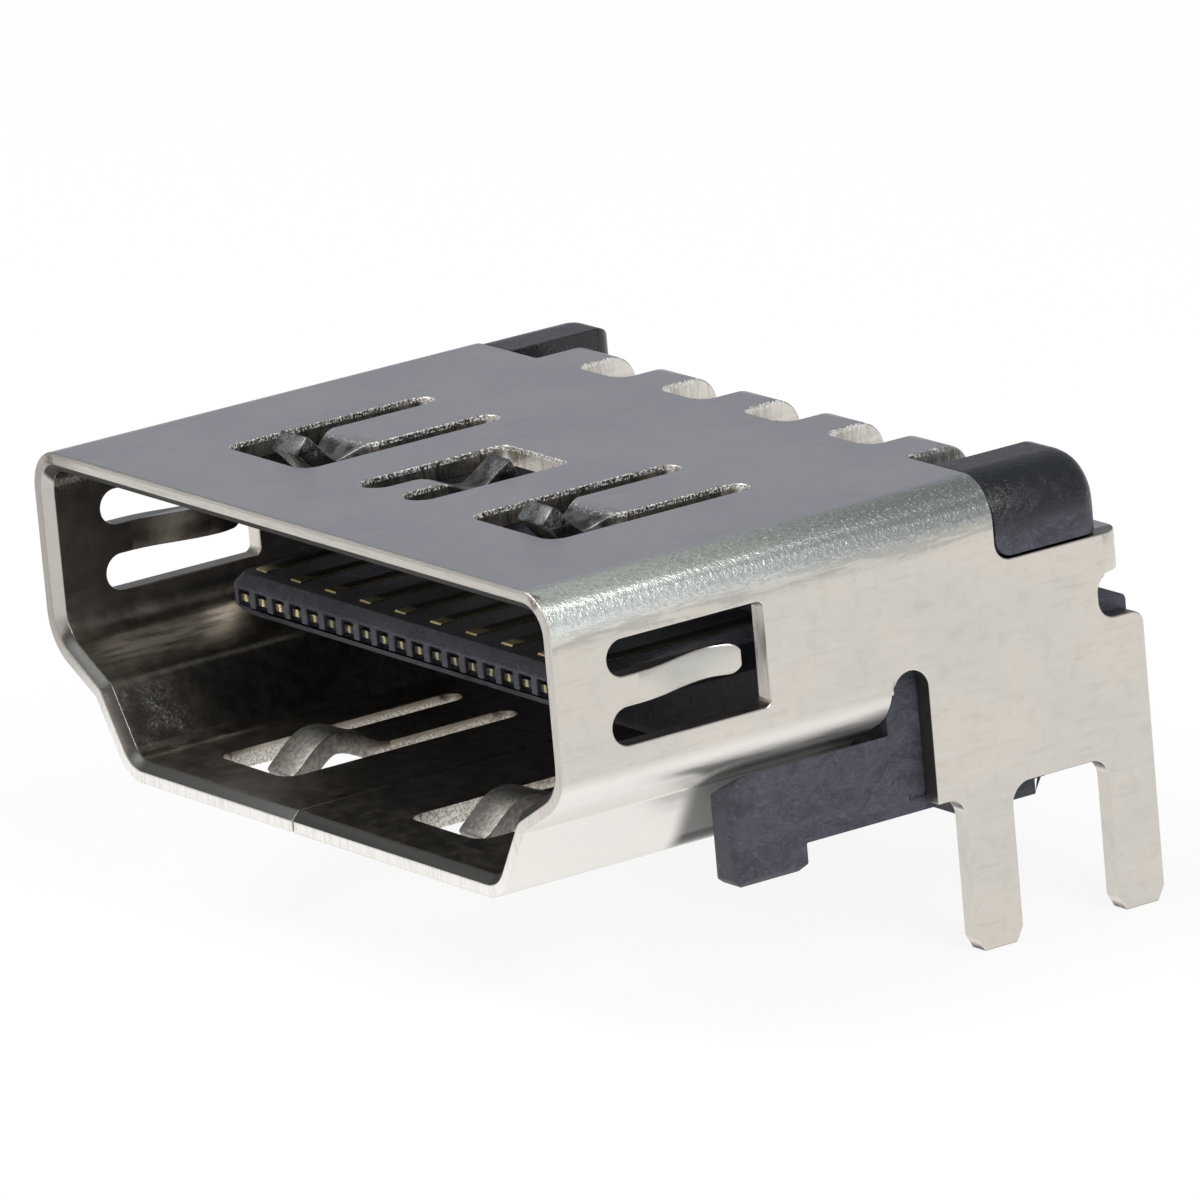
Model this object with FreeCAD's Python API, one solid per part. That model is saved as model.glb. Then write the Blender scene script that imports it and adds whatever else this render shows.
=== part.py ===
import FreeCAD
import Part
import math
import os

# Digital video receptacle for the edge of a circuit board.
# X runs to the right, Y runs from the mouth to the back, Z runs up from the board.
# The origin lies on the board face, under the middle of the mouth. All sizes are in mm.

# mouth of the shell
mouth_width = 14.0
mouth_height = 4.55
mouth_floor = 0.45
mouth_corner_radius = 0.35
wall_foot_height = 1.80
waist_half_width = 5.85
waist_height = 1.15
floor_half_width = 5.15
wall_bend_radius = 0.60
waist_bend_radius = 0.50
floor_bend_radius = 0.40
lead_in = 0.15
seam_gap = 0.04

# sheet metal of the shell
sheet = 0.35
sleeve_depth = 6.30
side_notch_end = 6.97
side_notch_top = 2.65
corner_cut_start = 8.45
side_plate_top = 4.00
side_plate_bottom = 0.38
side_plate_end = 11.20
corner_cut_radius = 0.30

# rear cover, bent down out of the top
cover_half_width = 5.10
cover_outer_face = 9.70
cover_bend_radius = 0.50
cover_bottom = 0.70
relief_slot_count = 4
relief_slot_pitch = 2.30
relief_slot_width = 1.30
relief_slot_front = 8.50
relief_slot_bottom = 4.55
relief_slot_radius = 0.30

# board legs of the shell
leg_width = 0.90
leg_front_start = 7.50
leg_rear_start = 10.30
leg_tip = -2.17
leg_taper = 0.13
leg_taper_height = 0.24
leg_fillet = 0.35

# locking flaps behind the housing
flap_bottom = 3.35
flap_outer_face = 10.97
flap_bend_radius = 0.45
flap_reach = 1.15
rear_notch_front = 10.36
rear_notch_bottom = 2.62
rear_notch_radius = 0.30
rear_corner_radius = 0.22

# springs in the top; their tips stand out of the windows
spring_centre = 3.47
spring_window_width = 2.36
spring_window_front = 1.98
spring_window_back = 5.88
spring_window_radius = 0.30
spring_root_width = 1.36
spring_tip_width = 0.72
spring_bend_start = 3.75
spring_valley = 3.12
spring_dip = 0.22
spring_tip_start = 2.48
spring_tip_height = 0.32

# springs in the floor, on both sides of the seam
seam_offset = -0.53
floor_spring_spread = 2.74
floor_window_width = 2.08
floor_window_front = 1.05
floor_window_back = 5.66
floor_root_width = 1.06
floor_tip_width = 0.80
floor_bend_start = 3.40
floor_peak = 2.45
floor_rise = 0.30
floor_tip_start = 1.65
floor_tip_height = 0.20
floor_tip_corner = 0.24

# retention tongue in the middle of the top
tongue_window_width = 1.88
tongue_window_front = 1.98
tongue_window_back = 4.92
tongue_window_radius = 0.20
tongue_width = 0.56
tongue_bend_start = 2.70
tongue_valley = 3.55
tongue_dip = 0.24
tongue_tip = 4.30
tongue_tip_height = 0.12

# side springs
side_window_front = 1.00
side_window_back = 3.98
side_window_bottom = 2.70
side_window_top = 4.40
side_window_radius = 0.12
side_tongue_width = 0.50
side_tongue_centre = 3.56
side_tongue_bend_start = 1.55
side_tongue_valley = 3.05
side_tongue_dip = 0.30
side_tongue_tip = 3.63
side_tongue_tip_height = -0.11

# plastic housing
housing_gap = 0.04
block_front = 6.36
block_back = 8.20
block_bottom = 0.38
chamber_margin = 0.95
chamber_back = 9.31
ear_width = 1.10
ear_back = 10.58
ear_corner_radius = 0.80
ear_back_round = 0.40
ear_bottom = 4.04
ear_shell_gap = 0.03
heel_back = 11.14
heel_top = 2.84
heel_chamfer = 0.22

# side rails and bosses of the housing
rail_width = 0.70
rail_front = 3.30
rail_bottom = 0.25
rail_top = 1.60
rail_top_inner = 1.18
rail_front_radius = 0.20
rail_shoulder_radius = 0.32
boss_back = 4.66
boss_bottom = -0.20
boss_chamfer = 0.12
pad_front = 7.60
pad_back = 9.10
pad_width = 1.00
pad_bottom = 0.0

# blade inside the mouth
blade_margin = 0.50
blade_front = 1.99
blade_bottom = 2.50
blade_top = 3.20
blade_chamfer = 0.18
blade_corner_radius = 0.35
blade_root_length = 0.45
blade_root_rise = 0.35

# contacts
contact_count = 19
contact_pitch = 0.50
contact_width = 0.30
contact_thickness = 0.12
contact_tip_face = 2.03
contact_tip_height = 2.83
contact_nose_start = 2.16
contact_nose_end = 2.42
contact_proud = 0.02
upper_drop = 9.06
lower_drop = 8.46
tail_bend = 0.30
tail_end = 10.75
tail_clearance = 0.02
groove_side_gap = 0.01
pocket_width = 0.34
pocket_height = 0.28
pocket_depth = 0.12

# spacer that keeps the tails apart
spacer_bottom = 0.42
spacer_top = 1.75
spacer_front = 8.20
spacer_back = 9.30
spacer_ledge_top = 2.10
spacer_ledge_back = 8.80

# sizes that follow from the ones above
outer_half_width = mouth_width / 2 + sheet
mouth_ceiling = mouth_floor + mouth_height
shell_top = mouth_ceiling + sheet
contact_row_half = (contact_count - 1) / 2 * contact_pitch
blade_half_width = contact_row_half + blade_margin
chamber_half_width = contact_row_half + chamber_margin
spacer_half_width = chamber_half_width
block_half_width = mouth_width / 2
ear_inner = block_half_width - ear_width
rail_inner = block_half_width - rail_width
pad_inner = block_half_width - pad_width
far = 30.0


def vec(x, y, z):
    return FreeCAD.Vector(x, y, z)


# block between two opposite corners
def block(x0, x1, y0, y1, z0, z1):
    return Part.makeBox(x1 - x0, y1 - y0, z1 - z0, vec(x0, y0, z0))


def mirrored(shape):
    return shape.mirror(vec(0, 0, 0), vec(1, 0, 0))


# the shape together with its mirror image
def both_sides(shape):
    return [shape, mirrored(shape)]


def fused(shapes):
    first = shapes[0]
    if len(shapes) == 1:
        return first
    return first.fuse(shapes[1:]).removeSplitter()


# closed wire through corners given as (point, radius), rounded by arcs
def rounded_wire(corners):
    count = len(corners)
    edges = []
    starts = []
    ends = []
    mids = []
    for i in range(count):
        point, radius = corners[i]
        before = corners[i - 1][0]
        after = corners[(i + 1) % count][0]
        to_before = (before - point).normalize()
        to_after = (after - point).normalize()
        if radius <= 0:
            starts.append(point)
            ends.append(point)
            mids.append(None)
            continue
        half = to_before.getAngle(to_after) / 2
        reach = radius / math.tan(half)
        bisector = (to_before + to_after).normalize()
        centre = point + bisector * (radius / math.sin(half))
        starts.append(point + to_before * reach)
        ends.append(point + to_after * reach)
        mids.append(centre - bisector * radius)
    for i in range(count):
        if mids[i] is not None:
            edges.append(Part.Arc(starts[i], mids[i], ends[i]).toShape())
        following = starts[(i + 1) % count]
        if (following - ends[i]).Length > 1e-7:
            edges.append(Part.LineSegment(ends[i], following).toShape())
    return Part.Wire(edges)


# prism of a rounded rectangle, pushed along one of the axes
def rounded_prism(axis, a0, a1, b0, b1, low, high, radii):
    spots = [(a0, b0), (a1, b0), (a1, b1), (a0, b1)]
    corners = []
    for (a, b), radius in zip(spots, radii):
        if axis == "x":
            corners.append((vec(low, a, b), radius))
        elif axis == "y":
            corners.append((vec(a, low, b), radius))
        else:
            corners.append((vec(a, b, low), radius))
    push = {"x": vec(high - low, 0, 0), "y": vec(0, high - low, 0), "z": vec(0, 0, high - low)}
    return Part.Face(rounded_wire(corners)).extrude(push[axis])


# inside of the mouth seen from the front
def mouth_face(y):
    half = mouth_width / 2
    right = [
        (vec(floor_half_width, y, mouth_floor), floor_bend_radius),
        (vec(waist_half_width, y, mouth_floor + waist_height), waist_bend_radius),
        (vec(half, y, mouth_floor + wall_foot_height), wall_bend_radius),
        (vec(half, y, mouth_ceiling), mouth_corner_radius),
    ]
    left = [(vec(-p.x, p.y, p.z), r) for p, r in reversed(right)]
    return Part.Face(rounded_wire(right + left))


# closed front part of the shell with its seam
def make_sleeve():
    inner = mouth_face(0)
    outer = inner.makeOffset2D(sheet)
    ring = outer.cut(inner)
    sleeve = ring.extrude(vec(0, sleeve_depth, 0))
    rim = []
    for edge in sleeve.Edges:
        box = edge.BoundBox
        on_front = abs(box.YMin) < 1e-6 and abs(box.YMax) < 1e-6
        inside = inner.distToShape(edge)[0] < 1e-6
        if on_front and inside:
            rim.append(edge)
    sleeve = sleeve.makeChamfer(lead_in, rim)
    seam = block(seam_offset - seam_gap / 2, seam_offset + seam_gap / 2, -1, sleeve_depth + 1,
                 -1, mouth_floor + 0.2)
    return sleeve.cut(seam)


# top and side plates as one bent sheet, open below
def make_channel():
    half = outer_half_width
    outer_radius = mouth_corner_radius + sheet
    outer = rounded_prism("y", -half, half, side_plate_bottom, shell_top, sleeve_depth / 2, side_plate_end,
                          (0, 0, outer_radius, outer_radius))
    inner = rounded_prism("y", -mouth_width / 2, mouth_width / 2, side_plate_bottom - 1, mouth_ceiling,
                          -1, side_plate_end + 1, (0, 0, mouth_corner_radius, mouth_corner_radius))
    channel = outer.cut(inner)
    front_part = block(-far, far, -1, sleeve_depth - 0.2, -far, mouth_floor + wall_foot_height + 0.4)
    notch_radius = (side_notch_end - sleeve_depth) / 2
    notch = rounded_prism("x", sleeve_depth, side_notch_end, -1, side_notch_top, -far, far,
                          (0, 0, notch_radius - 0.001, notch_radius - 0.001))
    strip = block(-far, far, sleeve_depth - 0.3, sleeve_depth, -far, mouth_floor + wall_foot_height + 0.4)
    return channel.cut([front_part, notch, strip])


# rear corners cut away, so that the housing shows there
def corner_cuts():
    lower = rounded_prism("x", corner_cut_start, far, side_plate_top, far, cover_half_width, far,
                          (corner_cut_radius, 0, 0, 0))
    above = block(cover_half_width, far, corner_cut_start, far, side_plate_top + 0.5, far)
    return both_sides(lower) + both_sides(above)


# rear cover: a quarter bend and a flat wall
def make_cover():
    outer_bend = cover_bend_radius
    inner_bend = cover_bend_radius - sheet
    start = cover_outer_face - outer_bend
    centre = vec(-cover_half_width, start, shell_top - outer_bend)
    width = 2 * cover_half_width
    bend = Part.makeCylinder(outer_bend, width, centre, vec(1, 0, 0))
    bend = bend.cut(Part.makeCylinder(inner_bend, width, centre, vec(1, 0, 0)))
    bend = bend.common(block(-far, far, start, far, centre.z, far))
    wall = block(-cover_half_width, cover_half_width, cover_outer_face - sheet, cover_outer_face,
                 cover_bottom, centre.z)
    return fused([bend, wall])


# rounded slots across the bend of the cover
def relief_slots():
    tools = []
    half = relief_slot_width / 2
    for i in range(relief_slot_count):
        x = (i - (relief_slot_count - 1) / 2) * relief_slot_pitch
        radii = (relief_slot_radius, relief_slot_radius, 0, 0)
        tools.append(rounded_prism("z", x - half, x + half, relief_slot_front, cover_outer_face - 0.2,
                                   mouth_ceiling - 0.6, far, radii))
        tools.append(rounded_prism("y", x - half, x + half, relief_slot_bottom, far,
                                   cover_outer_face - cover_bend_radius, far, radii))
    return tools


# one leg on the right side, with its tapered tip and two fillets
def make_leg(start):
    end = start + leg_width
    inner = mouth_width / 2
    points = [
        (start, side_plate_bottom + 0.3),
        (start, leg_tip + leg_taper_height),
        (start + leg_taper, leg_tip),
        (end - leg_taper, leg_tip),
        (end, leg_tip + leg_taper_height),
        (end, side_plate_bottom + 0.3),
    ]
    wire = Part.makePolygon([vec(inner, y, z) for y, z in points + points[:1]])
    leg = Part.Face(wire).extrude(vec(sheet, 0, 0))
    pieces = [leg]
    for edge, side in ((start, -1), (end, 1)):
        corner = vec(inner, edge + side * leg_fillet, side_plate_bottom - leg_fillet)
        inside_plate = side_notch_end < corner.y < side_plate_end
        if not inside_plate:
            continue
        low = min(edge, corner.y)
        high = max(edge, corner.y)
        web = block(inner, inner + sheet, low, high, side_plate_bottom - leg_fillet, side_plate_bottom)
        pieces.append(web.cut(Part.makeCylinder(leg_fillet, sheet, corner, vec(1, 0, 0))))
    return fused(pieces)


# flap of the right side plate, bent in behind the housing
def make_flap():
    outer = flap_bend_radius
    inner = flap_bend_radius - sheet
    centre = vec(outer_half_width - outer, flap_outer_face - outer, flap_bottom)
    height = side_plate_top - flap_bottom
    bend = Part.makeCylinder(outer, height, centre, vec(0, 0, 1))
    bend = bend.cut(Part.makeCylinder(inner, height, centre, vec(0, 0, 1)))
    bend = bend.common(block(centre.x, far, centre.y, far, -far, far))
    wing = block(outer_half_width - flap_reach, centre.x, flap_outer_face - sheet, flap_outer_face,
                 flap_bottom, side_plate_top)
    return fused([bend, wing])


# upper and rear outline of the side plates behind the flap
def rear_plate_cuts():
    above = block(cover_half_width, far, flap_outer_face - flap_bend_radius, far, flap_bottom - 0.4, far)
    notch = rounded_prism("x", rear_notch_front, far, rear_notch_bottom, flap_bottom, cover_half_width, far,
                          (rear_notch_radius, 0, 0, rear_notch_radius))
    low_corner = vec(cover_half_width, side_plate_end - rear_corner_radius,
                     rear_notch_bottom - rear_corner_radius)
    waste = block(cover_half_width, far, low_corner.y, far, low_corner.z, rear_notch_bottom + 0.01)
    waste = waste.cut(Part.makeCylinder(rear_corner_radius, far, low_corner, vec(1, 0, 0)))
    return both_sides(above) + both_sides(notch) + both_sides(waste)


# direction from one point to another, one unit long
def unit(a, b):
    run = math.hypot(b[0] - a[0], b[1] - a[1])
    return ((b[0] - a[0]) / run, (b[1] - a[1]) / run)


# strip of sheet that follows a bent line, given as (along, height) points
def bent_strip(points, thickness, low, high, place):
    count = len(points)
    upper = []
    lower = []
    for i in range(count):
        here = points[i]
        before = points[max(i - 1, 0)]
        after = points[min(i + 1, count - 1)]
        arriving = unit(before, here) if i > 0 else unit(here, after)
        leaving = unit(here, after) if i < count - 1 else arriving
        along = unit((0, 0), (arriving[0] + leaving[0], arriving[1] + leaving[1]))
        half = thickness / 2 / (along[0] * arriving[0] + along[1] * arriving[1])
        upper.append((here[0] - along[1] * half, here[1] + along[0] * half))
        lower.append((here[0] + along[1] * half, here[1] - along[0] * half))
    outline = upper + lower[::-1]
    spots = [place(along, height, low) for along, height in outline + outline[:1]]
    push = place(0, 0, high) - place(0, 0, low)
    return Part.Face(Part.makePolygon(spots)).extrude(push)


# smooth wave: level, down into a valley, and up again to a tip at its own height
def wave(root, start, valley, tip, dip, end, steps=7):
    points = [(root, 0.0)]
    for i in range(steps + 1):
        t = i / steps
        points.append((start + (valley - start) * t, -dip * (1 - math.cos(math.pi * t)) / 2))
    turn = 0.8 * math.pi
    for i in range(1, steps + 1):
        t = i / steps
        share = (1 - math.cos(turn * t)) / (1 - math.cos(turn))
        points.append((valley + (tip - valley) * t, -dip + (dip + end) * share))
    return points


# window with two slots that leave the root of a spring, at the back or at the front
def fork_window(x, width, root_width, front, back, corner, low, high, root_at_back):
    half = width / 2
    slot = half - root_width / 2
    turn = slot / 2 - 0.001
    left = (corner, 0, turn, turn)
    right = (0, corner, turn, turn)
    if not root_at_back:
        left = (turn, turn, 0, corner)
        right = (turn, turn, corner, 0)
    tools = [
        rounded_prism("z", x - half, x - half + slot, front, back, low, high, left),
        rounded_prism("z", x + half - slot, x + half, front, back, low, high, right),
        block(x - half + slot - 0.01, x + half - slot + 0.01, front if root_at_back else front + turn,
              back - turn if root_at_back else back, low, high),
    ]
    return fused(tools)


# spring with its root at the back, narrowing to a rounded tip
def make_spring(x, middle, direction, line, root_width, tip_width, corner):
    root, start, valley, tip, dip, end = line

    def place(along, height, across):
        return vec(x + across, along, middle - direction * height)
    points = wave(root + 0.05, start, valley, tip, dip, end)
    if direction > 0:
        points = points[::-1]
    half = root_width / 2
    body = bent_strip(points, sheet, -half, half, place)
    narrow = tip_width / 2
    front = tip - sheet / 2
    outline = [
        (vec(x - half, root + 0.2, -far), 0),
        (vec(x - half, start, -far), 0),
        (vec(x - narrow, valley, -far), 0),
        (vec(x - narrow, front, -far), corner),
        (vec(x + narrow, front, -far), corner),
        (vec(x + narrow, valley, -far), 0),
        (vec(x + half, start, -far), 0),
        (vec(x + half, root + 0.2, -far), 0),
    ]
    plan = Part.Face(rounded_wire(outline)).extrude(vec(0, 0, 2 * far))
    return body.common(plan)


# retention tongue with its root at the front
def make_tongue():
    middle = shell_top - sheet / 2
    half = tongue_width / 2

    def place(along, height, across):
        return vec(across, along, middle + height)
    points = wave(tongue_window_front - 0.05, tongue_bend_start, tongue_valley, tongue_tip,
                  tongue_dip, tongue_tip_height)
    return bent_strip(points, sheet, -half, half, place)


# side spring on the right wall, bent into the mouth
def make_side_spring():
    middle = outer_half_width - sheet / 2
    low = side_tongue_centre - side_tongue_width / 2
    high = side_tongue_centre + side_tongue_width / 2

    def place(along, height, across):
        return vec(middle + height, along, across)
    points = wave(side_window_front - 0.05, side_tongue_bend_start, side_tongue_valley, side_tongue_tip,
                  side_tongue_dip, side_tongue_tip_height)
    strip = bent_strip(points, sheet, low, high, place)
    radius = side_tongue_width / 2 - 0.001
    outline = rounded_prism("x", side_window_front - 0.2, side_tongue_tip - 0.02, low, high,
                            waist_half_width, far, (0, radius, radius, 0))
    return strip.common(outline)


# middles of the two floor springs
def floor_springs():
    return (seam_offset - floor_spring_spread, seam_offset + floor_spring_spread)


# window of a side spring: two slots with round front ends, joined behind the spring
def side_window():
    low = side_tongue_centre - side_tongue_width / 2
    high = side_tongue_centre + side_tongue_width / 2
    inner = mouth_width / 2 - 0.1
    outer = outer_half_width + 0.1
    under = (low - side_window_bottom) / 2 - 0.001
    above = (side_window_top - high) / 2 - 0.001
    lower_slot = rounded_prism("x", side_window_front, side_window_back, side_window_bottom, low,
                               inner, outer, (under, side_window_radius, 0, under))
    upper_slot = rounded_prism("x", side_window_front, side_window_back, high, side_window_top,
                               inner, outer, (above, 0, side_window_radius, above))
    middle = block(inner, outer, side_window_front + under, side_window_back, low - 0.01, high + 0.01)
    return fused([lower_slot, upper_slot, middle])


def shell_windows():
    windows = []
    low = mouth_ceiling - 0.1
    high = shell_top + 0.1
    for x in (-spring_centre, spring_centre):
        windows.append(fork_window(x, spring_window_width, spring_root_width, spring_window_front,
                                   spring_window_back, spring_window_radius, low, high, True))
    windows.append(fork_window(0, tongue_window_width, tongue_width, tongue_window_front,
                               tongue_window_back, tongue_window_radius, low, high, False))
    low = mouth_floor - sheet - 0.1
    high = mouth_floor + 0.1
    for x in floor_springs():
        windows.append(fork_window(x, floor_window_width, floor_root_width, floor_window_front,
                                   floor_window_back, spring_window_radius, low, high, True))
    return windows + both_sides(side_window())


def make_shell():
    body = fused([make_sleeve(), make_channel()])
    beyond_cover = block(-far, far, cover_outer_face - cover_bend_radius, far, side_plate_top + 0.01, far)
    body = body.cut(corner_cuts() + rear_plate_cuts() + [beyond_cover])
    body = body.cut(shell_windows())
    cover = make_cover()
    parts = [body, cover]
    for start in (leg_front_start, leg_rear_start):
        parts += both_sides(make_leg(start))
    parts += both_sides(make_flap())
    parts += both_sides(make_side_spring())
    line = (spring_window_back, spring_bend_start, spring_valley, spring_tip_start,
            spring_dip, spring_tip_height)
    for x in (-spring_centre, spring_centre):
        parts.append(make_spring(x, shell_top - sheet / 2, -1, line,
                                 spring_root_width, spring_tip_width, 0))
    line = (floor_window_back, floor_bend_start, floor_peak, floor_tip_start,
            floor_rise, floor_tip_height)
    for x in floor_springs():
        parts.append(make_spring(x, mouth_floor - sheet / 2, 1, line,
                                 floor_root_width, floor_tip_width, floor_tip_corner))
    parts.append(make_tongue())
    return fused(parts).cut(relief_slots())


# places of the contacts from left to right; odd ones lie on top of the blade
def contact_x(index):
    return (index - (contact_count - 1) / 2) * contact_pitch


def is_upper(index):
    return index % 2 == 0


# middle line of a contact from its tip to the end of its tail
def contact_line(index):
    half = contact_thickness / 2
    if is_upper(index):
        run = blade_top + contact_proud - half
        drop = upper_drop
    else:
        run = blade_bottom - contact_proud + half
        drop = lower_drop
    return [
        (contact_tip_face, contact_tip_height),
        (contact_nose_start, contact_tip_height),
        (contact_nose_end, run),
        (drop - tail_bend, run),
        (drop - tail_bend * 0.29, run - tail_bend * 0.29),
        (drop, run - tail_bend),
        (drop, half + tail_bend),
        (drop + tail_bend * 0.29, half + tail_bend * 0.29),
        (drop + tail_bend, half),
        (tail_end, half),
    ]


def contact_shape(index, width, thickness):
    x = contact_x(index)

    def place(along, height, across):
        return vec(x + across, along, height)
    return bent_strip(contact_line(index), thickness, -width / 2, width / 2, place)


# room for a contact on its way through the plastic
def contact_room(index):
    x = contact_x(index)
    room = contact_shape(index, contact_width + 2 * groove_side_gap, contact_thickness)
    half = pocket_width / 2
    pocket = block(x - half, x + half, blade_front - 1, blade_front + pocket_depth,
                   contact_tip_height - pocket_height / 2, contact_tip_height + pocket_height / 2)
    return [room, pocket]


def make_blade():
    outline = [
        (vec(-blade_half_width, blade_front, blade_bottom), blade_corner_radius),
        (vec(blade_half_width, blade_front, blade_bottom), blade_corner_radius),
        (vec(blade_half_width, block_front + 0.1, blade_bottom), 0),
        (vec(-blade_half_width, block_front + 0.1, blade_bottom), 0),
    ]
    blade = Part.Face(rounded_wire(outline)).extrude(vec(0, 0, blade_top - blade_bottom))
    front = []
    for edge in blade.Edges:
        box = edge.BoundBox
        level = abs(box.ZMin - box.ZMax) < 1e-6
        if level and box.YMax < block_front:
            front.append(edge)
    blade = blade.makeChamfer(blade_chamfer, front)
    root = [
        vec(0, block_front - blade_root_length, blade_bottom),
        vec(0, block_front, blade_bottom - blade_root_rise),
        vec(0, block_front, blade_top + blade_root_rise),
        vec(0, block_front - blade_root_length, blade_top),
    ]
    wedge = Part.Face(Part.makePolygon(root + root[:1])).extrude(vec(2 * blade_half_width, 0, 0))
    wedge.translate(vec(-blade_half_width, 0, 0))
    return fused([blade, wedge])


# main block behind the mouth and the side pillars
def make_block():
    top = mouth_ceiling - housing_gap
    wall = rounded_prism("y", -block_half_width, block_half_width, block_bottom, top,
                         block_front, block_back, (0.2, 0.2, 0.4, 0.4))
    sides = rounded_prism("y", chamber_half_width, block_half_width, block_bottom, top,
                          block_back - 0.1, chamber_back, (0, 0.2, 0.4, 0))
    roof = block(-chamber_half_width, chamber_half_width, block_back - 0.1, chamber_back - 0.15,
                 blade_top + 1.0, top)
    pillar = rounded_prism("z", ear_inner, block_half_width, chamber_back - 0.1, ear_back, block_bottom,
                           mouth_ceiling - 0.5, (0, 0, 0.15, 0.15))
    heel = rounded_prism("x", ear_back - 0.4, heel_back, block_bottom, heel_top, ear_inner,
                         block_half_width, (0, 0, 0.1, 0))
    return fused([wall, roof] + both_sides(sides) + both_sides(pillar) + both_sides(heel))


# rounded corner of the housing that shows in the cut-away of the shell
def make_ear():
    high = shell_top - 0.01
    ear = rounded_prism("y", ear_inner, outer_half_width - 0.01, ear_bottom, high,
                        corner_cut_start + ear_shell_gap, ear_back, (0, 0, ear_corner_radius, 0))
    rear = []
    for edge in ear.Edges:
        box = edge.BoundBox
        if abs(box.YMin - ear_back) < 1e-6 and box.ZMax > high - ear_corner_radius + 0.01:
            rear.append(edge)
    ear = ear.makeFillet(ear_back_round, rear)
    room = rounded_prism("x", corner_cut_start + ear_shell_gap, far, ear_bottom, far,
                         cover_half_width, far, (corner_cut_radius, 0, 0, 0))
    return ear.common(room)


# rail beside the narrow part of the shell, with boss and standing pad
def make_rail():
    section = [
        vec(rail_inner, rail_front, rail_bottom),
        vec(block_half_width, rail_front, rail_bottom),
        vec(block_half_width, rail_front, rail_top),
        vec(rail_inner, rail_front, rail_top_inner),
    ]
    rail_face = Part.Face(Part.makePolygon(section + section[:1]))
    rail = rail_face.extrude(vec(0, block_front + 0.3 - rail_front, 0))
    boss = block(rail_inner, block_half_width, rail_front, boss_back, boss_bottom, rail_bottom + 0.1)
    low = []
    for edge in boss.Edges:
        if edge.BoundBox.ZMax < boss_bottom + 1e-6:
            low.append(edge)
    boss = boss.makeChamfer(boss_chamfer, low)
    front_round = rounded_prism("z", rail_inner, block_half_width, rail_front, far, -far, far,
                                (rail_front_radius, rail_front_radius, 0, 0))
    shoulder = rounded_prism("x", rail_front, far, -far, rail_top, -far, far,
                             (0, 0, 0, rail_shoulder_radius))
    rail = fused([rail, boss]).common(front_round).common(shoulder)
    foot = block(pad_inner, block_half_width, block_front, chamber_back, rail_bottom, block_bottom + 0.1)
    pad = block(pad_inner, block_half_width, pad_front, pad_back, pad_bottom, rail_bottom + 0.05)
    return fused([rail, foot, pad])


def make_housing():
    parts = [make_blade(), make_block()] + both_sides(make_ear()) + both_sides(make_rail())
    body = fused(parts)
    rooms = []
    for index in range(contact_count):
        rooms += contact_room(index)
    return body.cut(rooms)


# spacer with a channel for every tail
def make_spacer():
    tall = block(-spacer_half_width, spacer_half_width, spacer_front, spacer_back, spacer_bottom, spacer_top)
    ledge = block(-spacer_half_width, spacer_half_width, spacer_front, spacer_ledge_back,
                  spacer_top - 0.1, spacer_ledge_top)
    body = fused([tall, ledge])
    rooms = []
    for index in range(contact_count):
        x = contact_x(index)
        drop = upper_drop if is_upper(index) else lower_drop
        half = contact_width / 2 + groove_side_gap
        rooms.append(block(x - half, x + half, drop - contact_thickness / 2, spacer_back + 1,
                           spacer_bottom - 1, spacer_ledge_top + 1))
    return body.cut(rooms)


def write(shape, node):
    solids = shape.Solids
    if len(solids) != 1:
        raise ValueError(node + " has " + str(len(solids)) + " solids")
    solids[0].exportStep("parts/" + node + ".step")


def main():
    os.makedirs("parts", exist_ok=True)
    write(make_shell(), "shell")
    write(make_housing(), "housing")
    write(make_spacer(), "tail_spacer")
    for index in range(contact_count):
        contact = contact_shape(index, contact_width, contact_thickness)
        write(contact, "contact_%02d" % (index + 1))


main()
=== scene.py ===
import bpy
import bmesh
import math
from mathutils import Matrix, Vector
from mathutils.bvhtree import BVHTree
from mathutils.kdtree import KDTree


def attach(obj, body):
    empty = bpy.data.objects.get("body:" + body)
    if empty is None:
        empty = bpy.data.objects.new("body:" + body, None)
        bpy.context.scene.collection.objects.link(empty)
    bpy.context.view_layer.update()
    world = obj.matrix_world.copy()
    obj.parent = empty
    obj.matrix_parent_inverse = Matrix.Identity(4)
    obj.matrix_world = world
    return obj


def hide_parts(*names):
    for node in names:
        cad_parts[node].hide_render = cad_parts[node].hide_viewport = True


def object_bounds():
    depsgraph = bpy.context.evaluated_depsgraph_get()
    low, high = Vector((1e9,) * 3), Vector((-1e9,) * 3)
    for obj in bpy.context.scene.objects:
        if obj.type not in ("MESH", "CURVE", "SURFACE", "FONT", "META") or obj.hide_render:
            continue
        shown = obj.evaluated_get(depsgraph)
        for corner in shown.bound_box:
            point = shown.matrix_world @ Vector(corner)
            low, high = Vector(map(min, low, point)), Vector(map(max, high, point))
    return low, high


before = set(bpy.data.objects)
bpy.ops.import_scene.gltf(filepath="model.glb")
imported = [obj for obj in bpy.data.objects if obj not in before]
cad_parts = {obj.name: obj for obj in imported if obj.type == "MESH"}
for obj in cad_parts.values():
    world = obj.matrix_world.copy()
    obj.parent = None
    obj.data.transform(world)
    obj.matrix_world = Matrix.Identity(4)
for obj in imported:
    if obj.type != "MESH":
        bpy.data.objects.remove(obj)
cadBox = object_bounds()
print("frame loaded:", len(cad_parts), "nodes")

scene = bpy.context.scene
scene.view_settings.view_transform = "Standard"
mm = 0.001


# shader building

# values as sockets numbered from 0
def numbered(values):
    return {"i%d" % number: value for number, value in enumerate(values)}


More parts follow.
